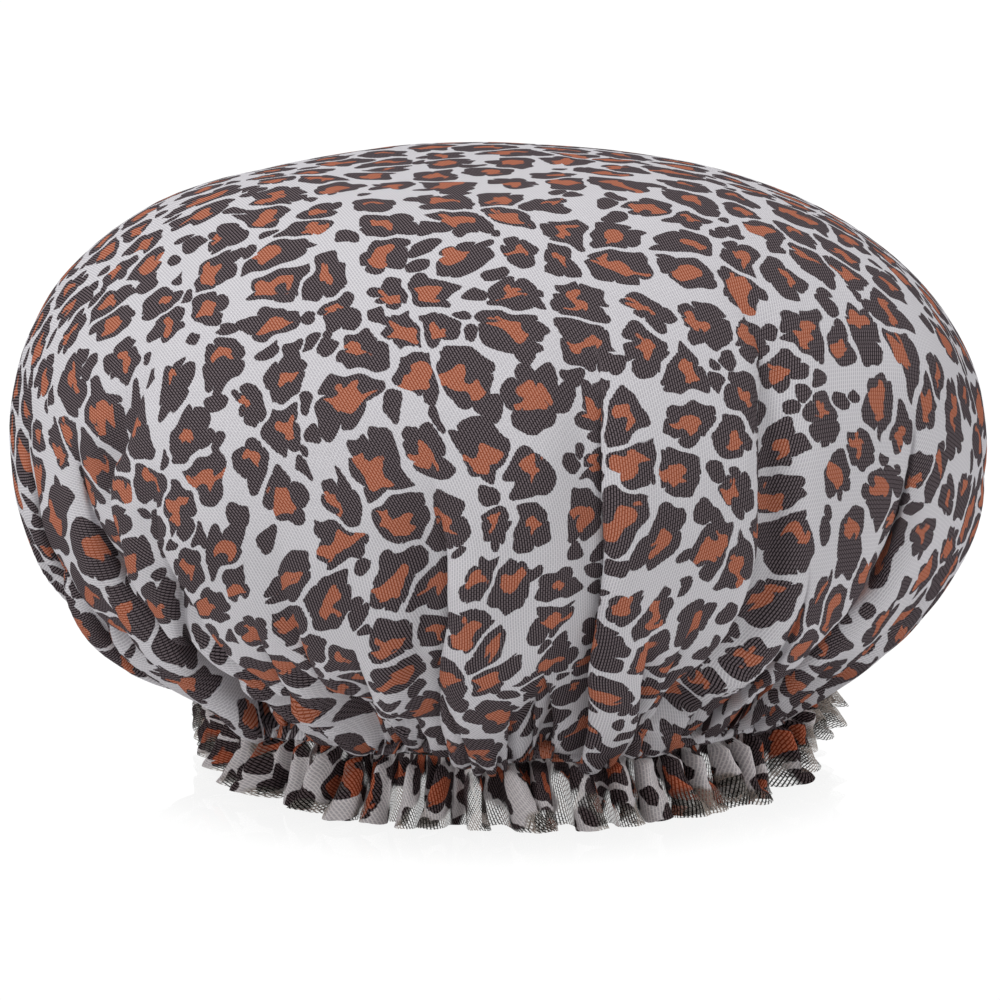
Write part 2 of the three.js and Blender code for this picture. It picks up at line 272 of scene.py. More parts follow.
def all_folds():
    """The front folds, seeded ones round the sides and back, and the smaller ones between them."""
    draw = np.random.default_rng(7)
    found = list(FRONT_FOLDS)
    bearing, end = BACK_BEARINGS
    while bearing < end:
        wander = draw.normal(0, 3)
        bearings = (bearing + draw.normal(0, 2), bearing, bearing + wander, bearing + wander * 1.6)
        turn = draw.choice([-1, 1]) * draw.uniform(35, 64)
        found.append(Fold((120, 80, 50, 28), bearings, reach=draw.uniform(70, 150),
                          taken=draw.uniform(13, 18), valley=draw.uniform(1.8, 3.6),
                          width=draw.uniform(9, 13), turn=turn))
        bearing += draw.uniform(*BACK_SPACINGS)
    for count, reaches, takens, valleys, widths in SMALLER_FOLDS:
        for place in (np.arange(count) + draw.uniform(-0.42, 0.42, count)) * 360 / count:
            slant = draw.normal(0, 4)
            taken = draw.uniform(*takens)
            turn = draw.choice([-1, 1]) * draw.uniform(20, 62)
            bearings = (place + slant, place + slant * 0.4, place)
            found.append(Fold((70, 45, 24), bearings, reach=draw.uniform(*reaches), taken=taken,
                              valley=draw.uniform(*valleys), width=draw.uniform(*widths), turn=turn))
    return found


def takings(folds, r, s):
    """mm of cloth that each fold takes in on a ring, at a distance along the section."""
    spare = TURN * (s - r)
    share = np.interp(s, *zip(*TAKEN_SHARES))
    weights = np.array([fold.taken * fold.growth(s) ** GROWTH_POWER for fold in folds])
    total = weights.sum()
    if total <= 0:
        return weights
    return weights * min(spare * share / total, MOST_TAKEN)


def waves(draw, count, least, most):
    """Seeded smooth noise over the flat cut, as its waves' two wave numbers and phases."""
    heading = draw.uniform(0, TURN, count)
    length = draw.uniform(least, most, count)
    return TURN / length * np.cos(heading), TURN / length * np.sin(heading), draw.uniform(0, TURN, count)


def noise(x, y, kind):
    """About -1 to 1 at places on the flat cut."""
    kx, ky, phase = kind
    total = np.zeros_like(x)
    for a, b, c in zip(kx, ky, phase):
        total += np.sin(a * x + b * y + c)
    return total / math.sqrt(len(kx))


# Patches of ripples that show from the front: bearing, mm above the tuck, heading of the waves in radians
# from straight up, length of a wave, size of the patch and depth
FRONT_PATCHES = (
    (-17.0, 13.0, 0.9, 5.5, 6.0, 1.0),
    (-33.0, 12.0, -0.5, 6.0, 7.0, 0.9),
    (24.0, 14.0, 0.7, 6.0, 7.0, 0.9),
    (-41.0, 38.0, 0.72, 10.0, 17.0, 2.2),
    (-29.0, 32.0, 0.95, 9.0, 14.0, 1.9),
    (-16.0, 24.0, -0.6, 7.5, 9.0, 1.5),
    (38.0, 33.0, -0.8, 10.0, 14.0, 1.8),
)
# Ranges of the same for small ones all round
PATCH_RANGES = ((0, 360), (5, 30), (-1.0, 1.0), (5, 8), (5, 9), (0.4, 0.9))
PATCH_COUNT = 30
RIPPLE_LEAN = 0.7       # how much one side of a ripple is steeper than the other
PATCH_RISE = 0.8        # of a patch, up the crown, against its size


def off_line(around, bearing, r):
    """mm round the ring from a bearing in radians, less than 0 before it."""
    return ((around - bearing + math.pi) % TURN - math.pi) * r


def crease_width(taken):
    return CREASE_WIDTH + CREASE_GROWTH * taken


def drawn_round(flat, folds, taken_in, r, s):
    """Bearings on the ring of columns that are even on the flat cut, with the folds' cloth taken in."""
    fine = np.linspace(0, TURN, 9000, endpoint=False)
    length = r * fine
    for fold, taken in zip(folds, taken_in):
        if taken <= 0:
            continue
        past = fine - fold.bearing(s) + math.pi
        inside = smooth((past % TURN - math.pi) * r / crease_width(taken), -1, 1)
        length = length + taken * (inside + np.floor(past / TURN))
    share = length / (TURN * r + taken_in.sum())
    share = share - np.mean(share - fine / TURN)
    wrapped = np.concatenate([share - 1, share, share + 1]) * TURN
    return np.interp(flat, wrapped, np.concatenate([fine - TURN, fine, fine + TURN]))


def creased(around, folds, taken_in, r, s):
    """mm that the folds take the cloth inward, and aside along the ring."""
    inward = np.zeros(len(around))
    aside = np.zeros(len(around))
    room = np.interp(s, *zip(*FOLD_ROOM))
    for fold, taken in zip(folds, taken_in):
        if taken <= 0:
            continue
        off = off_line(around, fold.bearing(s), r)
        inside = 1 - np.abs(2 * smooth(off / crease_width(taken), -1, 1) - 1) ** FOLD_ROUNDING
        depth = min(taken / 2, room / max(math.cos(fold.turn), FLATTEST))
        inward += math.cos(fold.turn) * depth * inside
        aside += math.sin(fold.turn) * depth * inside
        valley = PANEL_DEPTH * fold.valley * smooth(fold.growth(s), 0, VALLEY_GROWTH)
        valley *= 1 - VALLEY_LOSS * smooth(s, TUCK_ALONG - VALLEY_LEAD, TUCK_ALONG)
        near = 1 / (1 + (off / (VALLEY_SPREAD * fold.width)) ** 2) ** VALLEY_POWER
        beside = off / fold.width * np.exp(-(off / (LIP_SPREAD * fold.width)) ** 2)
        inward += valley * (near - np.sign(fold.turn) * LIP * beside)
    return inward, aside


def rippled(around, patches, r, s):
    """mm that the patches of ripples take the cloth inward."""
    inward = np.zeros(len(around))
    for bearing, rise, heading, length, size, depth in patches:
        off = off_line(around, math.radians(bearing - 90), r)
        up = TUCK_ALONG - rise - s
        wave = TURN / length * (up * math.cos(heading) + off * math.sin(heading))
        wave = np.sin(wave + RIPPLE_LEAN * np.sin(wave))
        inward += depth * wave * np.exp(-(off / size) ** 2 - (up / (PATCH_RISE * size)) ** 2)
    return inward


def ring(r, angle, z):
    """Points from their distances from the band's axis, bearings in radians and heights."""
    return np.stack([r * np.cos(angle), r * np.sin(angle), z + 0 * angle], -1)


def gathered(rows, folds, columns):
    """Points of the gathered crown, row by row, and the bearing of each column on the flat cut."""
    draw = np.random.default_rng(3)
    slow = waves(draw, *SLOW_WAVES)
    quick = waves(draw, *QUICK_WAVES)
    small = [tuple(draw.uniform(*limits) for limits in PATCH_RANGES) for _ in range(PATCH_COUNT)]
    patches = list(FRONT_PATCHES) + small
    flat = np.linspace(0, TURN, columns, endpoint=False)
    gathers = np.sin(GATHER_COUNT * flat + 2.6 * np.sin(7 * flat) + 1.7 * np.sin(11 * flat + 1))
    lower_edge = noise(WAIST_RADIUS * np.cos(flat), WAIST_RADIUS * np.sin(flat), quick)
    points = np.zeros((len(rows), columns, 3))
    for k, s in enumerate(rows):
        r, z, nr, nz = (float(x) for x in crown_line.at(s))
        taken_in = takings(folds, r, s)
        around = drawn_round(flat, folds, taken_in, r, s)
        inward, aside = creased(around, folds, taken_in, r, s)
        inward += rippled(around, patches, r, s)
        x = s * np.cos(flat)
        y = s * np.sin(flat)
        lower = smooth(s, SWELL_FROM, TUCK_ALONG - DROOP_LEAD)
        for (top, low), kind in ((SLOW_SWELL, slow), (QUICK_SWELL, quick)):
            inward += (top + (low - top) * lower) * noise(x, y, kind)
        held = smooth(s, TUCK_ALONG, TUCK_ALONG + BAND_RUN)
        keep = 1 - BAND_CALM * held
        inward = inward * keep - GATHER_DEPTH * held * gathers
        droop = smooth(s, TUCK_ALONG - DROOP_LEAD, TUCK_ALONG - DROOP_LEAD / 10)
        droop *= 1 - smooth(s, TUCK_ALONG, TUCK_ALONG + BAND_RUN + 1)
        height = z - nz * inward - TUCK_DROOP * droop * lower_edge
        points[k] = ring(r - nr * inward, around + aside * keep / r, height)
    return points, flat


def settled(points):
    """The points relaxed along the sheet, below its first rows, which rounds sharp edges."""
    middle = (np.roll(points, 1, axis=1) + np.roll(points, -1, axis=1)) / 2
    level = points.copy()
    level[1:-1] = (points[:-2] + points[2:]) / 2
    aim = (middle + level) / 2
    points[FIRST_SETTLED:-1] = (points[FIRST_SETTLED:-1] + aim[FIRST_SETTLED:-1]) / 2
    return points


def leaned(points):
    """The crown stands to the left of its band, its top still more so, and its left side hangs fuller."""
    x, y, z = np.moveaxis(points, -1, 0)
    shift = BAND_SHIFT * smooth(z, BAND_TOP, LEAN_END) + TOP_LEAN * smooth(z, WIDEST_HEIGHT, CROWN_TOP)
    reach = np.hypot(x, y)
    left = (-x / reach).clip(0, 1) ** 2 * smooth(reach, TUCK_RADIUS, TUCK_RADIUS + SAG_SPREAD)
    sag = LEFT_SAG * left * np.exp(-((z - TUCK_HEIGHT - SAG_RISE) / SAG_SPREAD) ** 2)
    points[..., 0] = x - shift - sag
    return points


def mesh_piece(name, points, faces, cut):
    """An object from points round the band's axis in mm, faces, and each point's place on the flat cut."""
    mesh = bpy.data.meshes.new(name)
    mesh.from_pydata(((points + ASIDE) * MM).tolist(), [], faces)
    layer = mesh.uv_layers.new(name="flat_cut")
    corner = np.zeros(len(mesh.loops), int)
    mesh.loops.foreach_get("vertex_index", corner)
    layer.data.foreach_set("uv", (cut[corner] * MM).ravel())
    mesh.shade_smooth()
    return placed(name, mesh)


def ringed_faces(row_count, columns):
    """Quads between rings of points, facing out when the rings run downwards."""
    grid = np.arange(row_count * columns).reshape(row_count, columns)
    beside = np.roll(grid, -1, axis=1)
    return np.stack([grid[:-1], grid[1:], beside[1:], beside[:-1]], -1).reshape(-1, 4).tolist()


def round_cut(rows, flat):
    """Places on the flat cut, from distances from its middle and the bearings of the columns."""
    s = rows[:, None]
    return np.stack([s * np.cos(flat), s * np.sin(flat)], -1).reshape(-1, 2)


def round_piece(name, points, rows, flat, pole_rise):
    """A gathered round from its rings of points, closed at the pole."""
    columns = points.shape[1]
    faces = ringed_faces(len(rows), columns)
    pole = len(rows) * columns
    faces += [[pole, i, (i + 1) % columns] for i in range(columns)]
    top = points[0].mean(axis=0) + (0, 0, pole_rise)
    cut = np.vstack([round_cut(rows, flat), [0, 0]])
    return mesh_piece(name, np.vstack([points.reshape(-1, 3), [top]]), faces, cut)


# Printed crown.
CROWN_COLUMNS = 1040
TOP_STEP = 6.0          # from row to row over the top
TOP_END = 120.0         # which ends this far from the pole
SIDE_STEP = 3.2         # down the side
TUCK_STEP = 1.5         # and round the tuck and down the band
TUCK_LEAD = 22.0        # from this far above the tuck's lower edge
FIRST_SETTLED = 4       # the first row that is relaxed
POLE_RISE = 0.1


def make_crown():
    tuck_start = TUCK_ALONG - TUCK_LEAD
    rows = np.concatenate([
        np.arange(TOP_STEP / 2, TOP_END, TOP_STEP),
        np.arange(TOP_END, tuck_start, SIDE_STEP),
        np.arange(tuck_start, crown_line.length - TUCK_STEP / 3, TUCK_STEP),
        [crown_line.length]])
    points, flat = gathered(rows, all_folds(), CROWN_COLUMNS)
    return round_piece("printed_crown", leaned(settled(points)), rows, flat, POLE_RISE)


crown = make_crown()


# Film lining. It lies loosely behind the crown and runs down inside the band.
LINING_RADIUS = TAPE_RADIUS + 0.9       # between the tape and the cloth
LINING_START = 4.0      # from the pole to the first row
LINING_STEP = 3.6       # and from row to row
LINING_COLUMNS = 480
LINING_BACKS = ((0, 2.6), (100, 5.5), (176, 10.5), (215, 12.5))     # mm from the pole, and behind the crown
LINING_SHOULDER = 5.0   # from the band out to where the film turns in over it
LINING_HEM = 0.4        # above the crown's end
CURVE_LEFT_OUT = 26.0   # end of the crown's curve that the film doesn't follow
CRINKLES = (0.65, 0.585)        # mm, slow and quick
SLOW_CRINKLES = (9, 30, 90)     # how many, and the least and the most mm from one to the next
QUICK_CRINKLES = (20, 9, 30)
CRINKLED_FROM = 60.0    # from the pole, where they are full
POUCH = 3.24            # how far in the slack pouches above the band hang
POUCH_WAVES = 52        # each gives two
POUCHES_FROM = 120.0    # from the pole
POUCHES_END = 20.0      # from the film's end, where they are deepest
SMOOTHED = (26.0, 14.0)         # from the film's end, where the band begins and has smoothed it
LINING_GATHERS = 120
LINING_GATHER = 0.35
GATHERED_BY = 12.0      # from the film's end
LINING_GAP = 1.0        # least way between the film and the folds of the crown
HELD_FROM = 3.0         # above the band, where it starts to keep that way
FILM_SPREAD = 4         # columns of the film, to either side, that a fold moves with it


def lining_section():
    """The crown's curve moved inward, clear of its folds, then in over the band and down."""
    curve = Section(crown_curve())
    s = np.linspace(0, curve.length - CURVE_LEFT_OUT, 200)
    r, z, nr, nz = curve.at(s)
    back = np.interp(s, *zip(*LINING_BACKS))
    dome = np.column_stack([np.maximum(r - nr * back, 0), z - nz * back])
    dome[0, 0] = 0
    step = np.array([
        dome[-1],
        [LINING_RADIUS + LINING_SHOULDER, BAND_TOP + 1.2 * LINING_SHOULDER],
        [LINING_RADIUS, BAND_TOP + 0.2 * LINING_SHOULDER],
        [LINING_RADIUS, BAND_BOTTOM + LINING_HEM],
    ])
    return np.vstack([dome, rounded(step)[1:]])


def held_back(points):
    """The film moved towards the middle of the crown where the crown's folds come in that far."""
    corners = [corner.co / MM for corner in crown.data.vertices]
    tree = BVHTree.FromPolygons(corners, [face.vertices[:] for face in crown.data.polygons])
    middle = np.array([0, 0, WIDEST_HEIGHT])
    way = points + ASIDE - middle
    reach = np.linalg.norm(way, axis=-1)
    room = reach.copy()
    above_band = points[..., 2] > BAND_TOP + HELD_FROM
    for spot in zip(*np.nonzero(above_band)):
        hit, _, _, distance = tree.ray_cast(Vector(middle), Vector(way[spot]))
        if hit is not None:
            room[spot] = min(distance - LINING_GAP, reach[spot])
    near = range(-FILM_SPREAD, FILM_SPREAD + 1)
    least = np.min([np.roll(room, k, axis=1) - np.roll(reach, k, axis=1) for k in near], axis=0)
    moved = np.mean([np.roll(least, k, axis=1) for k in near], axis=0)
    return points + way * (np.minimum(moved, 0) / reach)[..., None]


def make_lining():
    line = Section(lining_section())
    end = line.length
    rows = np.concatenate([np.arange(LINING_START, end, LINING_STEP), [end]])
    draw = np.random.default_rng(21)
    quick = waves(draw, *QUICK_CRINKLES)
    slow = waves(draw, *SLOW_CRINKLES)
    flat = np.linspace(0, TURN, LINING_COLUMNS, endpoint=False)
    pouches = (1 - np.abs(np.sin(POUCH_WAVES * flat + 2.0 * np.sin(5 * flat)))) ** 1.5
    gathers = np.sin(LINING_GATHERS * flat + 3 * np.sin(5 * flat))
    points = np.zeros((len(rows), LINING_COLUMNS, 3))
    for k, s in enumerate(rows):
        r, z, nr, nz = (float(x) for x in line.at(s))
        x = s * np.cos(flat)
        y = s * np.sin(flat)
        crinkle = CRINKLES[0] * noise(x, y, slow) + CRINKLES[1] * np.abs(noise(x, y, quick))
        loose = crinkle + POUCH * smooth(s, POUCHES_FROM, end - POUCHES_END) * pouches
        inward = loose * smooth(s, 0, CRINKLED_FROM) * (1 - smooth(s, end - SMOOTHED[0], end - SMOOTHED[1]))
        inward += LINING_GATHER * smooth(s, end - SMOOTHED[0], end - GATHERED_BY) * gathers
        points[k] = ring(r - nr * inward, flat, z - nz * inward)
    return round_piece("film_lining", held_back(leaned(points)), rows, flat, 0), line


lining, lining_line = make_lining()


# Frill: one strip, pleated where it leaves the band.
PLEATS = 60
PLEAT_STEPS = 34
FRILL_ROWS = 18
LEAN_GROUP = 4          # pleats side by side that lean the same way
PLEAT_WIDTHS = (0.7, 1.4)       # ranges: how wide a pleat is, against the others
PLEAT_SIZES = (0.6, 1.25)       # how far it swings, times the sizes below
PLEAT_LEANS = (0.1, 0.55)       # how far it leans, against its swing
PLEAT_LOOPS = (0.6, 1.5)        # how far its loops bulge sideways, in mm
PLEAT_FLARES = (0.2, 1.5)       # how far it flares, times FRILL_FLARE
PLEAT_AT_SEAM = 2.8     # how far a pleat swings in and out, in mm
PLEAT_AT_HEM = 6.3
PUCKER_AT_SEAM = 1.5    # and the small gathers between
PUCKER = 0.8            # all the way down
SWING_POWER = 0.8       # with which the swing grows to the hem
SEAM_SHARE = 0.1        # of their swing, that pleats and gathers have at the seam itself
SEAM_OVERLAP = 0.6      # of the frill's upper edge with the crown's end
FREE_AT = 0.25          # of the way down, where the seam no longer holds the pleats
OFF_SEAM = 0.3          # of the frill outside the band at the seam
OFF_WAIST = 0.7         # and more once it is free
LOOP_SHARES = (0.5, 1.7)        # of a loop at the seam and at the hem
FRILL_FLARE = 4.6
FLARE_POWER = 1.4
LEFT_FLARE_LOSS = 0.5   # share of the flare that the left end has less
LEFT_END = 0.76         # cosine of the bearing at which that end begins
RIGHT_END = 0.8         # and the right one
LEFT_RISE = 5.5         # how much higher the hem is at its left end
RIGHT_RISE = 8.0        # and at its right end
RIGHT_REACH = 0.5       # how much further out it is there
RUMPLE = 0.55           # mm of unevenness in the cloth of the pleats
RUMPLES = (26, 6.0, 18.0)       # how many waves, and the least and the most mm from one to the next
CUT_WAVE = 0.45         # mm of unevenness in its cut edge
CUT_WAVES = (12, 2.5, 14)
CUT_PLEAT = 6.0         # mm along that edge for each pleat
HEM_RISE = 0.35         # share of the hem's rises and falls that is left once it stands
LEAST_FALL = 0.35       # of a row's length, for the steepest pleats


def between(values, t):
    """Values at whole numbers round a ring, read smoothly in between."""
    low = np.floor(t).astype(int)
    part = smooth(t - low, 0, 1)
    return values[low % len(values)] * (1 - part) + values[(low + 1) % len(values)] * part


def make_frill():
    draw = np.random.default_rng(31)
    count = PLEATS * PLEAT_STEPS
    t = np.arange(count) / PLEAT_STEPS
    widths = draw.uniform(*PLEAT_WIDTHS, PLEATS)
    edges = np.concatenate([[0], np.cumsum(widths / widths.sum())]) * TURN
    base = np.interp(t, np.arange(PLEATS + 1), edges)
    size = between(draw.uniform(*PLEAT_SIZES, PLEATS), t)
    sides = draw.choice([-1, 1], PLEATS // LEAN_GROUP).repeat(LEAN_GROUP)
    lean = between(sides * draw.uniform(*PLEAT_LEANS, PLEATS), t)
    loop = between(draw.uniform(*PLEAT_LOOPS, PLEATS), t)
    flare = between(draw.uniform(*PLEAT_FLARES, PLEATS), t)
    cut_wave = CUT_WAVE * noise(t * CUT_PLEAT, t * 0, waves(draw, *CUT_WAVES))
    at_right = smooth(np.cos(base), RIGHT_END, 1)
    at_left = smooth(-np.cos(base), LEFT_END, 1)
    rumpled = waves(draw, *RUMPLES)
    flat = np.linspace(0, TURN, count, endpoint=False)
    phase = TURN * t
    along = flat * crown_line.length
    step = (FRILL_DEPTH + cut_wave) / (FRILL_ROWS - 1)
    seam = BAND_BOTTOM + SEAM_OVERLAP
    points = np.zeros((FRILL_ROWS, count, 3))
    for k in range(FRILL_ROWS):
        v = k / (FRILL_ROWS - 1)
        free = smooth(v, 0, FREE_AT)
        swing = np.interp(v ** SWING_POWER, (0, 1), (PLEAT_AT_SEAM, PLEAT_AT_HEM)) * size
        pucker = PUCKER_AT_SEAM * (1 - v) * np.cos(4 * phase + 1.2) + PUCKER * np.cos(2 * phase + 0.5)
        out = (swing * np.cos(phase) + pucker) * (SEAM_SHARE + (1 - SEAM_SHARE) * free)
        looped = loop * np.interp(v, (0, 1), LOOP_SHARES) * np.sin(2 * phase)
        side = looped + lean * v * (out + swing)
        flared = FRILL_FLARE * v ** FLARE_POWER * flare * (1 - LEFT_FLARE_LOSS * at_left)
        flared += RIGHT_REACH * at_right * v
        uneven = RUMPLE * free * noise(along, 0 * along + v * FRILL_DEPTH, rumpled)
        r = WAIST_RADIUS + OFF_SEAM + OFF_WAIST * free + flared + out + uneven
        points[k] = ring(r, base + side / WAIST_RADIUS, seam)
        if k:
            level = np.hypot(*(points[k, :, :2] - points[k - 1, :, :2]).T)
            fall = np.sqrt(np.maximum(step ** 2 - level ** 2, (LEAST_FALL * step) ** 2))
            points[k, :, 2] = points[k - 1, :, 2] - fall
    hem = points[-1, :, 2]
    stands = STANDING_GAP + HEM_RISE * (hem - hem.min()) + LEFT_RISE * at_left + RIGHT_RISE * at_right
    points[..., 2] = seam - (seam - points[..., 2]) * (seam - stands) / (seam - hem)
    cut = round_cut(crown_line.length + np.linspace(0, FRILL_DEPTH, FRILL_ROWS), flat)
    return mesh_piece("pleated_frill", points.reshape(-1, 3), ringed_faces(FRILL_ROWS, count), cut)


frill = make_frill()


# Casing tape. Its edges lie on the lining and its middle bellies in round the elastic.
TAPE_EDGE = 1.5         # width of its edges, with a seam along the middle of each
TAPE_BELLY = 3.8        # how far it stands in round the elastic
BELLY_SPAN = (-0.6, 1.6)        # from the edge's inner side, where it comes in
TAPE_INSET = 0.2        # of its edges
TAPE_RIPPLE = 0.45      # mm
TAPE_RIPPLES = (14, 4.0, 11)    # how many waves, and the least and the most mm from one to the next
RIPPLE_SPAN = (-0.7, 1.5)
TAPE_ROWS = 15
TAPE_COLUMNS = 720


def make_tape():
    draw = np.random.default_rng(31)
    flat = np.linspace(0, TURN, TAPE_COLUMNS, endpoint=False)
    ripple = TAPE_RIPPLE * noise(flat * WAIST_RADIUS, flat * 0, waves(draw, *TAPE_RIPPLES))
    points = np.zeros((TAPE_ROWS, TAPE_COLUMNS, 3))
    for k, level in enumerate(np.linspace(1, -1, TAPE_ROWS)):
        from_edge = (1 - abs(level)) * TAPE_WIDTH / 2
        belly = TAPE_BELLY * smooth(from_edge - TAPE_EDGE, *BELLY_SPAN)
        r = TAPE_RADIUS - TAPE_INSET - belly + ripple * smooth(from_edge - TAPE_EDGE, *RIPPLE_SPAN)
        points[k] = ring(r, flat, BAND_MIDDLE + level * TAPE_WIDTH / 2)
    s = np.linspace(0, TAPE_WIDTH, TAPE_ROWS)[:, None]
    cut = np.stack([flat * TAPE_RADIUS + 0 * s, s + 0 * flat], -1).reshape(-1, 2)
    faces = ringed_faces(TAPE_ROWS, TAPE_COLUMNS)
    return mesh_piece("casing_tape_woven", points.reshape(-1, 3), faces, cut)


tape = make_tape()

# Elastic: a flat ribbed strip bent to a ring, its end lapped inside its start.
ELASTIC_RADIUS = elastic_high.x - BAND_SHIFT
ELASTIC_THICKNESS = 1.2
ELASTIC_WIDTH = elastic_high.z - elastic_low.z
ELASTIC_LAP = 16.0
ELASTIC_RIBS = 7
ELASTIC_STEPS = 420
RIB_HEIGHT = 0.14
ELASTIC_EDGE = 0.35     # how much thinner its edges are, to either side
SEAT_GAP = 0.3


def make_elastic():
    lap = ELASTIC_LAP / ELASTIC_RADIUS
    angles = np.linspace(-lap / 2, TURN + lap / 2, ELASTIC_STEPS)[:, None]
    step_in = smooth(angles, TURN - 3 * lap, TURN - lap) * (ELASTIC_THICKNESS + SEAT_GAP)
    across = np.linspace(-1, 1, ELASTIC_RIBS * 6 + 1)
    rib = RIB_HEIGHT * (np.abs(np.cos(across * ELASTIC_RIBS * math.pi / 2)) - 1)
    half = ELASTIC_THICKNESS / 2 + rib - ELASTIC_EDGE * smooth(np.abs(across), 0.9, 1.0)
    depth = np.concatenate([half, -half[::-1]])
    level = np.concatenate([across, across[::-1]]) * ELASTIC_WIDTH / 2
    r = ELASTIC_RADIUS - ELASTIC_THICKNESS / 2 - step_in + depth
    points = ring(r, angles, elastic_low.z + ELASTIC_WIDTH / 2 + level)
    faces = ringed_faces(*r.shape)
    last = np.arange(r.size)[-len(depth):]
    faces += [list(range(len(depth))), last[::-1].tolist()]
    cut = np.stack([angles * ELASTIC_RADIUS + 0 * r, level + 0 * r], -1).reshape(-1, 2)
    return mesh_piece("knitted_elastic", points.reshape(-1, 3), faces, cut)


elastic = make_elastic()

# Threads. Each stitch of a seam is a short round strand that dips into the cloth at both ends.
THREAD_WIDTH = 0.45
STITCH_LENGTH = 2.6
STITCH_GAP = 0.5
STITCH_BOW = 1.6        # of a stitch's middle, in thread radii
NEEDLE_GAP = 0.1        # outside the gathers of the cloth
BOBBIN_GAP = 0.4        # inside the tape's edge
SEAM_REACH = (TAPE_WIDTH - TAPE_EDGE) / 2       # of a seam above or below the middle of the band
SEAM_EDGES = 720
TACK_ZIGS = 14
TACK_REACH = 2.0        # above and below the middle of the band


def thread_line(name, points, edges):
    """An object of edges between points round the band's axis, in mm."""
    mesh = bpy.data.meshes.new(name)
    mesh.from_pydata(((points + ASIDE) * MM).tolist(), edges, [])
    return placed(name, mesh)


def seam_line(name, radius, height):
    """A closed line of short edges round the axis."""
    angles = np.linspace(0, TURN, SEAM_EDGES, endpoint=False)
    edges = [(i, (i + 1) % SEAM_EDGES) for i in range(SEAM_EDGES)]
    return thread_line(name, ring(radius, angles, height), edges)


def tack_line(name):
    """The line of the tack across the elastic's lap, on its inner face."""
    r = ELASTIC_RADIUS - 2 * ELASTIC_THICKNESS - 2 * SEAT_GAP - THREAD_WIDTH / 2
    place = np.arange(TACK_ZIGS + 1)
    angles = ELASTIC_LAP / 2 / r * (place / TACK_ZIGS - 0.5)
    heights = BAND_MIDDLE + np.where(place % 2, TACK_REACH, -TACK_REACH)
    return thread_line(name, ring(r, angles, heights), [(i, i + 1) for i in range(TACK_ZIGS)])


# Materials.
def srgb(text):
    """Linear RGBA of a written colour such as "d6d6dc"."""
    def linear(c):
        return c / 12.92 if c <= 0.04045 else ((c + 0.055) / 1.055) ** 2.4
    return tuple(linear(int(text[i:i + 2], 16) / 255) for i in (0, 2, 4)) + (1.0,)


def add(tree, kind, inputs=None, output=0, **settings):
    """Adds a node with its settings, gives its inputs values or links, and returns one output."""
    node = tree.nodes.new(kind)
    for name, value in settings.items():
        setattr(node, name, value)
    for key, value in (inputs or {}).items():
        if isinstance(value, bpy.types.NodeSocket):
            tree.links.new(value, node.inputs[key])
        else:
            node.inputs[key].default_value = value
    return node.outputs[output]


# Print and knit, in mm on the flat cut.
CELL = 15.6             # between the middles of the rosettes
SPREAD = 0.64           # how unevenly they lie
BIG_SWIRL = (34.0, 5.0)         # size of the swirls that move the print about, and their reach
SMALL_SWIRL = (6.0, 1.9)
ROSETTE = 6.6           # from the middle of the smallest rosette to its edge
ROSETTE_RANGE = 3.8     # and more for the largest
SLIM = 0.80             # how slim an oval is across, where 1 is round
SLIM_RANGE = 0.42
LOBE_SHARE = 0.36       # of a rosette, that its lobes stand out
LOBE_POWER = 0.55       # the less, the rounder a lobe and the sharper the notch beside it
LOBE_SKEW = 0.5         # how unevenly they lie round it
VEIN = 0.72             # half the pale vein between two rosettes
VEIN_ROUNDING = 2.0
PRINT_BLUR = 0.06
CENTRE_SHIFT = 4.6      # up to half of this off the rosette's middle, either way
CENTRE_SWIRL = (3.6, 2.2)
CENTRE_SHARE = 0.27     # of the rosette's size, for the smallest
CENTRE_RANGE = 0.20
CENTRE_SLIM = 0.75
CENTRE_SLIM_RANGE = 0.8
CENTRE_BLUR = 0.09
SPOT_CELL = 6.8         # between the middles of the small spots
SPOT_SPREAD = 0.8
SPOT = 2.0              # the smallest one's radius
SPOT_RANGE = 1.2
SPOT_CLEAR = 9.3        # the least way from a spot's middle to the nearest rosette's
SHARP = 1000.0          # turns mm over or under a limit into yes or no
GROUND = srgb("dddbde")
BLOTCH = srgb("100c0e")
CENTRE = srgb("8e4428")
PALE_YARN = srgb("bebbc1")
BLOTCH_YARN = srgb("70666a")
CENTRE_YARN = srgb("c1836e")
PITCH = 0.78            # between the wales of the knit
STITCH = 1.1            # from one stitch of a wale to the next
SLANT = 0.35            # of its yarns, across for each mm along
YARN_GAP = 0.26         # half the dark between two yarns
YARN_BLUR = 0.8         # share of that over which it turns light
KNIT_RELIEF = 0.2       # mm
STEP_SHARE = 0.35       # how far the edges of the print step with the stitches

# The frill is one layer of the cloth. Light comes through it, and near its hem the knit's cells are open. Its
# colours are a brighter, deeper copy of the crown's as painted light, and near the hem they are darkened
# brown as painted shade.
DEEPER = 1.25           # power of the print's colours on the frill: with the gain below, painted light that makes it deeper and brighter than the crown
PAINTED_LIGHT_GAIN = (1.4, 1.36, 1.3, 1.0)           # times the colours: painted light, for the light that comes through the frill
BACKLIT_PAINTED_SHADE = (0.62, 0.52, 0.43, 1.0)     # and near the hem: painted shade, brown, where its net stands against the light
OPEN_PATCH = 13.0       # size of the patches in which it opens sooner or later
OPEN_UNEVEN = 2.4       # and how unevenly, in depths of the frill for the whole range
OPEN_FROM = 0.62        # of the frill's depth
OPEN_TO = 0.92
RIGHT_END_FROM = 0.9    # of the crown's length, to the right, where the frill's end opens sooner
RIGHT_END_SOONER = 0.45
GLOW = 0.12             # share of the light that comes through the closed cloth
CELL_FIBRES_AND_LIGHT = 0.20        # share of an open cell filled with warm white: fine fibres, and painted light coming through the cell


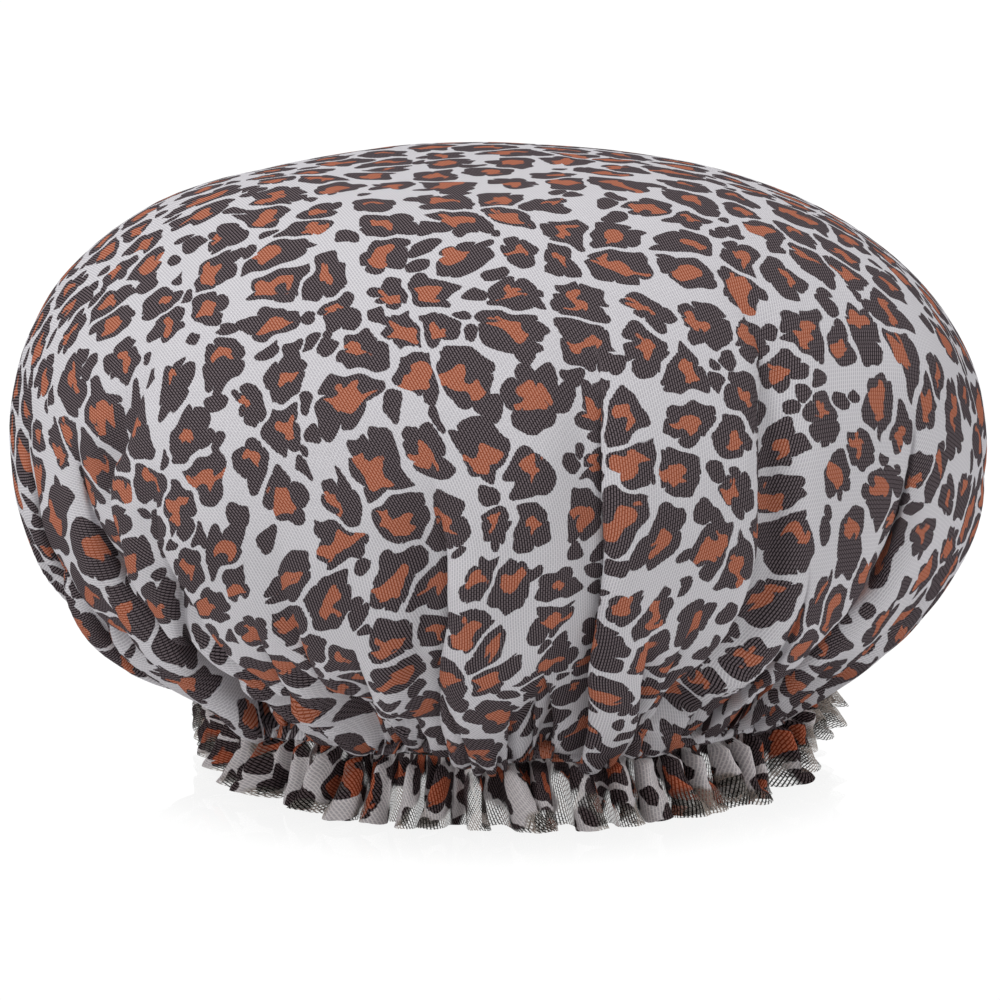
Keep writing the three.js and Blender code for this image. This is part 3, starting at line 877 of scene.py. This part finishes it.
def maths(tree, operation, *values):
    return add(tree, "ShaderNodeMath", dict(enumerate(values)), operation=operation)


def blended(tree, factor, first, second):
    """first where factor is 0 and second where it is 1."""
    return add(tree, "ShaderNodeMix", {0: factor, 6: first, 7: second}, output=2, data_type="RGBA")


def displaced(tree, place, size, reach):
    """place moved about by up to reach mm, in swirls of a size in mm."""
    swirl = add(tree, "ShaderNodeTexNoise", {"Vector": place, "Scale": 1 / size, "Detail": 0.0},
                output="Color", noise_dimensions="2D")
    middled = add(tree, "ShaderNodeVectorMath", {0: swirl, 1: (0.5, 0.5, 0.5)}, operation="SUBTRACT")
    moved = add(tree, "ShaderNodeVectorMath", {0: middled, "Scale": 2 * reach}, operation="SCALE")
    return add(tree, "ShaderNodeVectorMath", {0: place, 1: moved}, operation="ADD")


def above(tree, value, edge, blur):
    """0 below edge and 1 above it, blurred over a width."""
    return add(tree, "ShaderNodeMapRange", {"Value": value, "From Min": edge - blur, "From Max": edge + blur},
               clamp=True)


def cells(tree, where, size, spread, output, feature="F1"):
    """The nearest of scattered points, size mm apart, or the next: its Distance, Position or own Color."""
    return add(tree, "ShaderNodeTexVoronoi", {"Vector": where, "Scale": 1 / size, "Randomness": spread},
               output=output, feature=feature, voronoi_dimensions="2D")


def part_of(tree, colour, name):
    return add(tree, "ShaderNodeSeparateColor", {"Color": colour}, output=name)


def lobed(tree, offset, turn, slim, lobes, size):
    """mm inside an oval with lobes, from a place beside its middle."""
    turned = add(tree, "ShaderNodeVectorRotate", {"Vector": offset, "Angle": turn}, rotation_type="Z_AXIS")
    narrow = add(tree, "ShaderNodeCombineXYZ", {"X": slim, "Y": maths(tree, "DIVIDE", 1.0, slim)})
    oval = add(tree, "ShaderNodeVectorMath", {0: turned, 1: narrow}, operation="MULTIPLY")
    x = add(tree, "ShaderNodeSeparateXYZ", {"Vector": oval})
    y = add(tree, "ShaderNodeSeparateXYZ", {"Vector": oval}, output=1)
    angle = maths(tree, "ARCTAN2", y, x)
    skew = maths(tree, "SINE", maths(tree, "ADD", angle, turn))
    angle = maths(tree, "MULTIPLY_ADD", skew, LOBE_SKEW, angle)
    wave = maths(tree, "SINE", maths(tree, "MULTIPLY", angle, maths(tree, "MULTIPLY", lobes, 0.5)))
    wave = maths(tree, "POWER", maths(tree, "ABSOLUTE", wave), LOBE_POWER)
    reach = maths(tree, "MULTIPLY", size, maths(tree, "MULTIPLY_ADD", wave, LOBE_SHARE, 1 - LOBE_SHARE))
    from_middle = add(tree, "ShaderNodeVectorMath", {0: oval}, output=1, operation="LENGTH")
    return maths(tree, "SUBTRACT", reach, from_middle)


def stepped(tree, place):
    """place drawn towards the middle of its stitch, which steps the edges of the print."""
    snapped = add(tree, "ShaderNodeVectorMath", {0: place, 1: (PITCH, STITCH / 2, 1.0)}, operation="SNAP")
    return add(tree, "ShaderNodeMix", {0: STEP_SHARE, 4: place, 5: snapped}, output=1, data_type="VECTOR")


def spots(tree, roam):
    """mm inside a small spot. Spots lie only in the gaps between rosettes."""
    near = cells(tree, roam, SPOT_CELL, SPOT_SPREAD, "Distance")
    luck = part_of(tree, cells(tree, roam, SPOT_CELL, SPOT_SPREAD, "Color"), "Green")
    size = maths(tree, "MULTIPLY_ADD", luck, SPOT_RANGE, SPOT)
    spot = maths(tree, "MULTIPLY_ADD", near, -SPOT_CELL, size)
    middle = cells(tree, roam, SPOT_CELL, SPOT_SPREAD, "Position")
    clear = cells(tree, middle, CELL, SPREAD, "Distance")
    clear = maths(tree, "MULTIPLY_ADD", clear, SHARP * CELL, -SHARP * SPOT_CLEAR)
    return maths(tree, "MINIMUM", spot, clear)


def leopard(tree, place):
    """Masks of the dark blotches and of their centres, from a place on the flat cloth in mm.
    A rosette is an oval with 3 to 5 lobes, and a pale vein parts it from its neighbours."""
    roam = displaced(tree, displaced(tree, place, *BIG_SWIRL), *SMALL_SWIRL)
    middle = cells(tree, roam, CELL, SPREAD, "Position")
    offset = add(tree, "ShaderNodeVectorMath", {0: roam, 1: middle}, operation="SUBTRACT")
    chance = cells(tree, roam, CELL, SPREAD, "Color")
    red, green, blue = (part_of(tree, chance, name) for name in ("Red", "Green", "Blue"))
    turn = maths(tree, "MULTIPLY", red, 2 * TURN)
    size = maths(tree, "MULTIPLY_ADD", blue, ROSETTE_RANGE, ROSETTE)
    slim = maths(tree, "MULTIPLY_ADD", green, SLIM_RANGE, SLIM)
    lobes = maths(tree, "FLOOR", maths(tree, "MULTIPLY_ADD", red, 3.0, 3.0))
    body = lobed(tree, offset, turn, slim, lobes, size)
    first = cells(tree, roam, CELL, SPREAD, "Distance")
    second = cells(tree, roam, CELL, SPREAD, "Distance", "F2")
    vein = maths(tree, "MULTIPLY_ADD", maths(tree, "SUBTRACT", second, first), CELL / 2, -VEIN)
    body = maths(tree, "SMOOTH_MIN", body, vein, VEIN_ROUNDING)
    dark = above(tree, maths(tree, "MAXIMUM", body, spots(tree, roam)), 0.0, PRINT_BLUR)
    shift = add(tree, "ShaderNodeVectorMath", {0: chance, 1: (0.5, 0.5, 0.5)}, operation="SUBTRACT")
    shift = add(tree, "ShaderNodeVectorMath", {0: shift, "Scale": CENTRE_SHIFT}, operation="SCALE")
    inner = displaced(tree, offset, *CENTRE_SWIRL)
    inner = add(tree, "ShaderNodeVectorMath", {0: inner, 1: shift}, operation="ADD")
    inner_share = maths(tree, "MULTIPLY_ADD", green, CENTRE_RANGE, CENTRE_SHARE)
    inner_size = maths(tree, "MULTIPLY", size, inner_share)
    inner_slim = maths(tree, "MULTIPLY_ADD", blue, CENTRE_SLIM_RANGE, CENTRE_SLIM)
    centre = lobed(tree, inner, maths(tree, "MULTIPLY", turn, 3.0), inner_slim, 3.0, inner_size)
    centre = above(tree, maths(tree, "MINIMUM", centre, body), 0.0, CENTRE_BLUR)
    return dark, centre


def slanted_yarns(tree, place):
    """1 on the light slanted yarns of the knit and 0 in the dark between them."""
    across = add(tree, "ShaderNodeVectorMath", {0: place, 1: (1.0, SLANT, 0.0)}, output=1,
                 operation="DOT_PRODUCT")
    along = add(tree, "ShaderNodeSeparateXYZ", {"Vector": place}, output=1)
    both = add(tree, "ShaderNodeCombineXYZ", {"X": maths(tree, "MULTIPLY", along, 2.0), "Y": across})
    between_them = add(tree, "ShaderNodeTexBrick", {
        "Vector": both, "Scale": 1.0, "Mortar Size": YARN_GAP, "Mortar Smooth": YARN_BLUR,
        "Brick Width": 2 * STITCH, "Row Height": PITCH}, output="Fac", offset=0.5, squash=1.0)
    return maths(tree, "SUBTRACT", 1.0, between_them)


def new_material(name):
    """A material and its emptied tree."""
    material = bpy.data.materials.new(name)
    material.use_nodes = True
    material.node_tree.nodes.clear()
    return material, material.node_tree


def finished(tree, shader):
    """Links a shader to the material's output."""
    output = tree.nodes.new("ShaderNodeOutputMaterial")
    tree.links.new(shader, output.inputs["Surface"])


def flat_place(tree):
    """The place on the flat cut, in mm."""
    uv = add(tree, "ShaderNodeUVMap", uv_map="flat_cut")
    return add(tree, "ShaderNodeVectorMath", {0: uv, "Scale": 1 / MM}, operation="SCALE")


def patterned(tree, pattern, colours, bumped, deep, settings):
    """A surface that a pattern from 0 to 1 colours and bumps, by a strength and a depth in mm."""
    bump = add(tree, "ShaderNodeBump", {"Height": pattern, "Strength": bumped, "Distance": deep * MM})
    colour = blended(tree, pattern, *(srgb(colour) for colour in colours))
    finished(tree, add(tree, "ShaderNodeBsdfPrincipled", {"Base Color": colour, "Normal": bump, **settings}))


def printed_knit(name, sheer):
    """Polyester mesh knit, printed on its face: matt, with slanted yarns in close wales.
    Where it is one layer, as in the frill, light comes through it, and its colours carry painted light:
    brighter and deeper, with painted shade near the hem."""
    material, tree = new_material(name)
    place = flat_place(tree)
    dark, centre = leopard(tree, stepped(tree, place))
    yarn = slanted_yarns(tree, place)
    ink = blended(tree, centre, BLOTCH, CENTRE)
    low = blended(tree, dark, GROUND, ink)
    high = blended(tree, dark, PALE_YARN, blended(tree, centre, BLOTCH_YARN, CENTRE_YARN))
    colour = blended(tree, yarn, low, high)
    if sheer:
        # Painted light on the frill, turning to brown painted shade near the hem where its net stands against
        # the light.
        painted_light_and_shade = blended(tree, open_share(tree, place), PAINTED_LIGHT_GAIN, BACKLIT_PAINTED_SHADE)
        # Painted light: the frill's print made deeper and brighter than the crown's, for the light that comes
        # through it.
        deeper = add(tree, "ShaderNodeGamma", {"Color": colour, "Gamma": DEEPER})
        colour = add(tree, "ShaderNodeMix", {0: 1.0, 6: deeper, 7: painted_light_and_shade}, output=2, data_type="RGBA",
                     blend_type="MULTIPLY")
    bump = add(tree, "ShaderNodeBump", {"Height": yarn, "Strength": 0.3, "Distance": KNIT_RELIEF * MM})
    settings = {"Base Color": colour, "Normal": bump, "Roughness": 0.9, "Specular IOR Level": 0.0}
    shader = add(tree, "ShaderNodeBsdfPrincipled", settings)
    if sheer:
        shader = sheered(tree, place, yarn, shader, colour)
    finished(tree, shader)
    return material


def open_share(tree, place):
    """How open the frill's cloth is: 0 at the seam and 1 near its hem, unevenly."""
    uneven = add(tree, "ShaderNodeTexNoise", {"Vector": place, "Scale": 1 / OPEN_PATCH, "Detail": 1.0},
                 noise_dimensions="2D")
    from_pole = add(tree, "ShaderNodeVectorMath", {0: place}, output=1, operation="LENGTH")
    down = maths(tree, "MULTIPLY_ADD", from_pole, 1 / FRILL_DEPTH, -crown_line.length / FRILL_DEPTH)
    down = maths(tree, "ADD", down, maths(tree, "MULTIPLY_ADD", uneven, OPEN_UNEVEN, -OPEN_UNEVEN / 2))
    right_end = add(tree, "ShaderNodeMapRange", {
        "Value": add(tree, "ShaderNodeSeparateXYZ", {"Vector": place}),
        "From Min": RIGHT_END_FROM * crown_line.length, "From Max": crown_line.length,
        "To Max": RIGHT_END_SOONER})
    down = maths(tree, "ADD", down, right_end)
    return add(tree, "ShaderNodeMapRange", {"Value": down, "From Min": OPEN_FROM, "From Max": OPEN_TO},
               interpolation_type="SMOOTHSTEP")


def sheered(tree, place, yarn, shader, colour):
    """The frill's cloth: light comes through it, and near its hem only a fine net is left between cells,
    partly filled with warm white: fine fibres, and painted light coming through.
    """
    glow = add(tree, "ShaderNodeBsdfTranslucent", {"Color": colour})
    cloth = add(tree, "ShaderNodeMixShader", {0: GLOW, 1: shader, 2: glow})
    # Warm white in the open cells: fine fibres, and painted light coming through them.
    fibres_and_painted_light = add(tree, "ShaderNodeBsdfDiffuse", {"Color": srgb("fffaf0")})
    clear = add(tree, "ShaderNodeBsdfTransparent")
    open_cell = add(tree, "ShaderNodeMixShader", {0: CELL_FIBRES_AND_LIGHT, 1: clear, 2: fibres_and_painted_light})
    opened = maths(tree, "MULTIPLY", yarn, open_share(tree, place))
    return add(tree, "ShaderNodeMixShader", {0: opened, 1: cloth, 2: open_cell})


# The other finishes.
FILM_GRAIN = 1.6        # mm
WEAVE_PITCH = 0.5       # of the tape, in mm
ELASTIC_STITCH = 0.9    # mm from stitch to stitch
TWIST_PITCH = 0.403     # mm from one turn of the thread's twist to the next
WAVE_LENGTH = TURN / 10 / math.sqrt(3)      # of diagonal bands in a wave texture of scale 1


def ribs(tree, place, axis, pitch):
    """-1 to 1 and back for each pitch along an axis of the place."""
    along = add(tree, "ShaderNodeSeparateXYZ", {"Vector": place}, output=axis)
    return maths(tree, "SINE", maths(tree, "MULTIPLY", along, TURN / pitch))


def lining_film():
    """Milky PEVA film: soft sheen on its crinkles, with a little light through it."""
    material, tree = new_material("peva_film")
    place = flat_place(tree)
    grain = add(tree, "ShaderNodeTexNoise", {"Vector": place, "Scale": 1 / FILM_GRAIN, "Detail": 2.0})
    settings = {"Roughness": 0.34, "Subsurface Weight": 0.15, "Subsurface Scale": 2 * MM, "IOR": 1.5}
    patterned(tree, grain, ("e2e4e8", "eef0f2"), 0.2, 0.3, settings)
    return material


def woven_tape():
    """Plain woven polyester tape: pale and matt, with a fine weave."""
    material, tree = new_material("woven_polyester_tape")
    place = flat_place(tree)
    warp, weft = (ribs(tree, place, axis, WEAVE_PITCH) for axis in (0, 1))
    weave = maths(tree, "MULTIPLY_ADD", maths(tree, "MULTIPLY", warp, weft), 0.5, 0.5)
    settings = {"Roughness": 0.85, "Specular IOR Level": 0.25}
    patterned(tree, weave, ("c9c9cc", "e6e6e8"), 0.6, 0.2, settings)
    return material


def elastic_knit():
    """Knitted elastic: warm white, ribbed along, with fine stitches across the ribs."""
    material, tree = new_material("knitted_elastic")
    stitches = ribs(tree, flat_place(tree), 0, ELASTIC_STITCH)
    stitch = maths(tree, "MULTIPLY_ADD", stitches, 0.5, 0.5)
    settings = {"Roughness": 0.9, "Specular IOR Level": 0.2}
    patterned(tree, stitch, ("d8d4cb", "f0eee8"), 0.7, 0.3, settings)
    return material


def spun_thread():
    """Black spun polyester thread: matt, with the fine slant of its twist."""
    material, tree = new_material("spun_polyester_thread")
    place = add(tree, "ShaderNodeTexCoord", output="Object")
    twist = add(tree, "ShaderNodeTexWave", {
        "Vector": place, "Scale": WAVE_LENGTH / (TWIST_PITCH * MM), "Distortion": 1.0},
        output="Fac", bands_direction="DIAGONAL")
    settings = {"Roughness": 0.75, "Sheen Weight": 0.2}
    patterned(tree, twist, ("1d1a19", "37322f"), 0.5, 0.1, settings)
    return material


def thread_tree(name, material, stitched):
    """Geometry Nodes: a round thread along a line, as one strand or as stitches with gaps between."""
    tree = bpy.data.node_groups.new(name, "GeometryNodeTree")
    face = tree.interface
    face.new_socket("Line", in_out="INPUT", socket_type="NodeSocketGeometry")
    for label in ("Thread width", "Stitch length", "Stitch gap"):
        face.new_socket(label, in_out="INPUT", socket_type="NodeSocketFloat")
    face.new_socket("Thread", in_out="OUTPUT", socket_type="NodeSocketGeometry")
    given = tree.nodes.new("NodeGroupInput").outputs
    line = add(tree, "GeometryNodeMeshToCurve", {"Mesh": given["Line"]})
    radius = maths(tree, "MULTIPLY", given["Thread width"], 0.5)
    round_section = add(tree, "GeometryNodeCurvePrimitiveCircle", {"Resolution": 8, "Radius": radius})
    if stitched:
        pitch = maths(tree, "ADD", given["Stitch length"], given["Stitch gap"])
        places = add(tree, "GeometryNodeResampleCurve", {"Curve": line, "Length": pitch}, mode="LENGTH")
        points = add(tree, "GeometryNodeCurveToPoints", {"Curve": places}, mode="EVALUATED")
        turned = points.node.outputs["Rotation"]
        half = maths(tree, "MULTIPLY", given["Stitch length"], 0.5)
        start = add(tree, "ShaderNodeCombineXYZ", {"Z": maths(tree, "MULTIPLY", half, -1.0), "X": radius})
        end = add(tree, "ShaderNodeCombineXYZ", {"Z": half, "X": radius})
        middle = add(tree, "ShaderNodeCombineXYZ", {"X": maths(tree, "MULTIPLY", radius, -STITCH_BOW)})
        bow = add(tree, "GeometryNodeCurveQuadraticBezier", {
            "Resolution": 6, "Start": start, "Middle": middle, "End": end})
        strand = add(tree, "GeometryNodeCurveToMesh", {
            "Curve": bow, "Profile Curve": round_section, "Fill Caps": True})
        strand = add(tree, "GeometryNodeSetShadeSmooth", {"Geometry": strand, "Shade Smooth": True})
        made = add(tree, "GeometryNodeInstanceOnPoints", {
            "Points": points, "Instance": strand, "Rotation": turned})
    else:
        made = add(tree, "GeometryNodeCurveToMesh", {
            "Curve": line, "Profile Curve": round_section, "Fill Caps": True})
    made = add(tree, "GeometryNodeRealizeInstances", {"Geometry": made})
    made = add(tree, "GeometryNodeSetMaterial", {"Geometry": made, "Material": material})
    tree.links.new(made, tree.nodes.new("NodeGroupOutput").inputs["Thread"])
    return tree


def threaded(line, tree):
    """The line object as a plain mesh of thread."""
    modifier = line.modifiers.new("thread", "NODES")
    modifier.node_group = tree
    sizes = {"Thread width": THREAD_WIDTH, "Stitch length": STITCH_LENGTH, "Stitch gap": STITCH_GAP}
    for item in tree.interface.items_tree:
        if item.in_out == "INPUT" and item.name in sizes:
            modifier[item.identifier] = sizes[item.name] * MM
    shaped = line.evaluated_get(bpy.context.evaluated_depsgraph_get())
    mesh = bpy.data.meshes.new_from_object(shaped)
    line.modifiers.remove(modifier)
    line.data = mesh
    return line


NEEDLE_RADIUS = WAIST_RADIUS + GATHER_DEPTH + NEEDLE_GAP
BOBBIN_RADIUS = TAPE_RADIUS - BOBBIN_GAP - THREAD_WIDTH / 2
thread_material = spun_thread()
seam_stitches = thread_tree("seam_stitches", thread_material, True)
tack_strand = thread_tree("tack_strand", thread_material, False)
threads = {
    "upper_needle_stitches": ("upper_seam_needle_thread", NEEDLE_RADIUS, SEAM_REACH),
    "upper_bobbin_stitches": ("upper_seam_bobbin_thread", BOBBIN_RADIUS, SEAM_REACH),
    "lower_needle_stitches": ("lower_seam_needle_thread", NEEDLE_RADIUS, -SEAM_REACH),
    "lower_bobbin_stitches": ("lower_seam_bobbin_thread", BOBBIN_RADIUS, -SEAM_REACH),
}
thread_pieces = []
for name, (node, radius, height) in threads.items():
    line = seam_line(name, radius, BAND_MIDDLE + height)
    thread_pieces.append((threaded(line, seam_stitches), node))
thread_pieces.append((threaded(tack_line("lap_tack_stitches"), tack_strand), "elastic_lap_tack"))

tape.data.materials.append(woven_tape())
elastic.data.materials.append(elastic_knit())
crown.data.materials.append(printed_knit("printed_mesh_knit", False))
frill.data.materials.append(printed_knit("printed_mesh_knit_sheer", True))
lining.data.materials.append(lining_film())


# Floor, light and world.
def seen_white(tree):
    """1 for the rays that see the background white: from the camera, off gloss and through clear things."""
    path = tree.nodes.new("ShaderNodeLightPath")
    seen = maths(tree, "MAXIMUM", path.outputs["Is Camera Ray"], path.outputs["Is Glossy Ray"])
    return maths(tree, "MAXIMUM", seen, path.outputs["Is Transmission Ray"])


WHITE = (1, 1, 1, 1)
BOARD_WHITE = 1.03      # strength at which the camera sees the board white
GLAZE_ROUGHNESS = 0.02
GLOSS_SPAN = (0.090, 0.125)     # metres from the middle, where the soft reflection runs out
GLOSS = 0.12            # share of it near the middle
SHADE_SPAN = (0.065, 0.095)     # and where the faint shadow does
LIT_UNDER = 0.93        # share of white in the shadow
ROOM_LIGHT = 0.29       # strength of the white room as the pieces see it


def fading(tree, value, span, start, end):
    """start up to the first distance of the span and end from the last."""
    given = {"Value": value, "From Min": span[0], "From Max": span[1], "To Min": start, "To Max": end}
    return add(tree, "ShaderNodeMapRange", given, interpolation_type="SMOOTHSTEP")


def glazed_board():
    """White glazed board. The camera sees it white, with a faint shadow and a soft reflection."""
    material, tree = new_material("glazed_board")
    board = add(tree, "ShaderNodeBsdfDiffuse", {"Color": srgb("f2f2f2")})
    glaze = add(tree, "ShaderNodeBsdfGlossy", {"Color": WHITE, "Roughness": GLAZE_ROUGHNESS})
    white = add(tree, "ShaderNodeEmission", {"Color": WHITE, "Strength": BOARD_WHITE})
    place = add(tree, "ShaderNodeTexCoord", output="Object")
    outward = add(tree, "ShaderNodeVectorMath", {0: place}, output=1, operation="LENGTH")
    gloss = fading(tree, outward, GLOSS_SPAN, GLOSS, 0.0)
    lit = add(tree, "ShaderNodeMixShader", {0: gloss, 1: white, 2: glaze})
    share = maths(tree, "MULTIPLY", seen_white(tree), fading(tree, outward, SHADE_SPAN, LIT_UNDER, 1.0))
    finished(tree, add(tree, "ShaderNodeMixShader", {0: share, 1: board, 2: lit}))
    return material


FLOOR_REACH = 6.0       # metres to each side
floor_mesh = bpy.data.meshes.new("floor")
corners = [(x * FLOOR_REACH, y * FLOOR_REACH, 0) for x, y in ((-1, -1), (1, -1), (1, 1), (-1, 1))]
floor_mesh.from_pydata(corners, [], [(0, 1, 2, 3)])
floor_mesh.materials.append(glazed_board())
floor = placed("floor", floor_mesh)

world = bpy.data.worlds.new("room")
world.use_nodes = True
background = world.node_tree.nodes["Background"]
background.inputs["Color"].default_value = WHITE
room = {"Value": seen_white(world.node_tree), "To Min": ROOM_LIGHT, "To Max": 1.0}
strength = add(world.node_tree, "ShaderNodeMapRange", room)
world.node_tree.links.new(strength, background.inputs["Strength"])
bpy.context.scene.world = world

LAMPS_AIM = Vector((0, 0, 0.08))        # metres
# name, place in metres, width in metres, watts
LAMPS = (
    ("key", (-0.55, -0.42, 1.4), 0.45, 11.8),
    ("fill", (1.25, -0.55, 0.55), 0.9, 5.8),
    ("low", (-1.2, -0.9, 0.04), 0.5, 5.8),
    ("back", (0.1, 0.9, 1.2), 0.8, 4),
)
for name, place, size, power in LAMPS:
    lamp = bpy.data.lights.new(name, "AREA")
    lamp.energy = power
    lamp.size = size
    light = placed(name, lamp)
    light.location = place
    light.rotation_euler = (LAMPS_AIM - Vector(place)).to_track_quat("-Z", "Y").to_euler()

bpy.context.scene.view_settings.view_transform = "Standard"

# How the pieces belong to the part.
def belongs(piece, node):
    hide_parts(node)
    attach(piece, "root")


belongs(crown, "crown_cloth")
belongs(frill, "frill")
belongs(lining, "lining")
belongs(tape, "casing_tape")
belongs(elastic, "elastic_band")
for piece, node in thread_pieces:
    belongs(piece, node)
